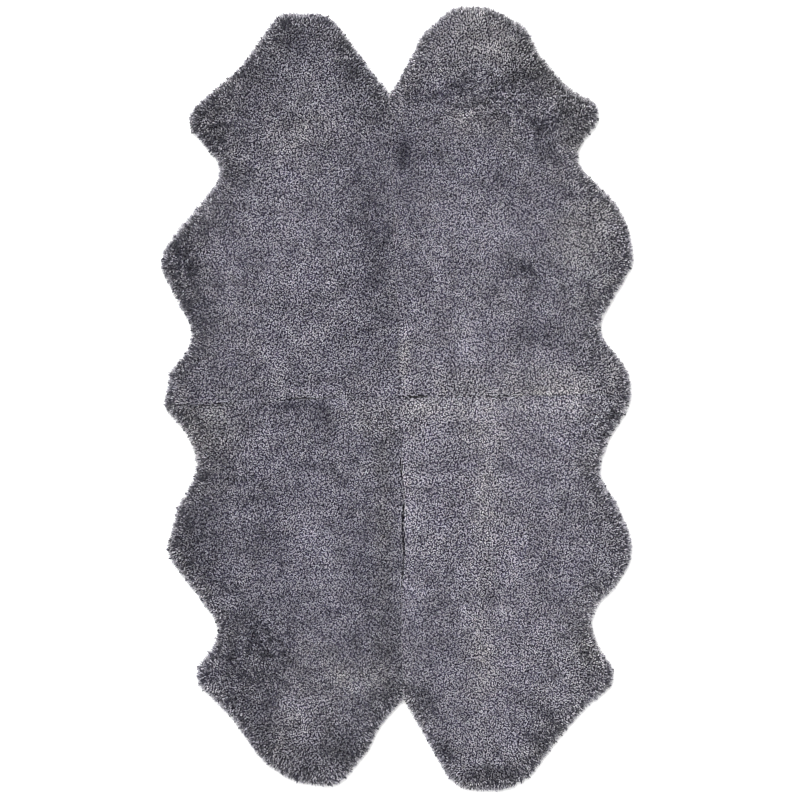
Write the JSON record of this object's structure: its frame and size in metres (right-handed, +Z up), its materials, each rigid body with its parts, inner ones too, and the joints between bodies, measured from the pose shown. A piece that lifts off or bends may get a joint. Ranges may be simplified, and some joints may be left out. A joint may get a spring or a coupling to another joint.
{
  "type": "sheepskin rug",
  "caption": "Grey shorn sheepskin rug of pelts sewn edge to edge in two columns, with a wavy wool outline, lying flat on the floor.",
  "frame": {"origin": "under the middle of the rug, on the floor that its skin side lies on", "axes": "+Y along the spine seam towards the upper necks, +X to the right seen from above, +Z up out of the wool"},
  "size_m": [1.1174, 1.8524, 0.0257],
  "materials": {
    "wool_top_left": "shorn curly grey wool",
    "wool_top_right": "shorn curly grey wool",
    "wool_bottom_left": "shorn curly grey wool",
    "wool_bottom_right": "shorn curly light grey wool"
  },
  "bodies": {
    "root": {"pelt_top_left": "wool_top_left", "pelt_top_right": "wool_top_right", "pelt_bottom_left": "wool_bottom_left", "pelt_bottom_right": "wool_bottom_right"}
  },
  "joints": []
}
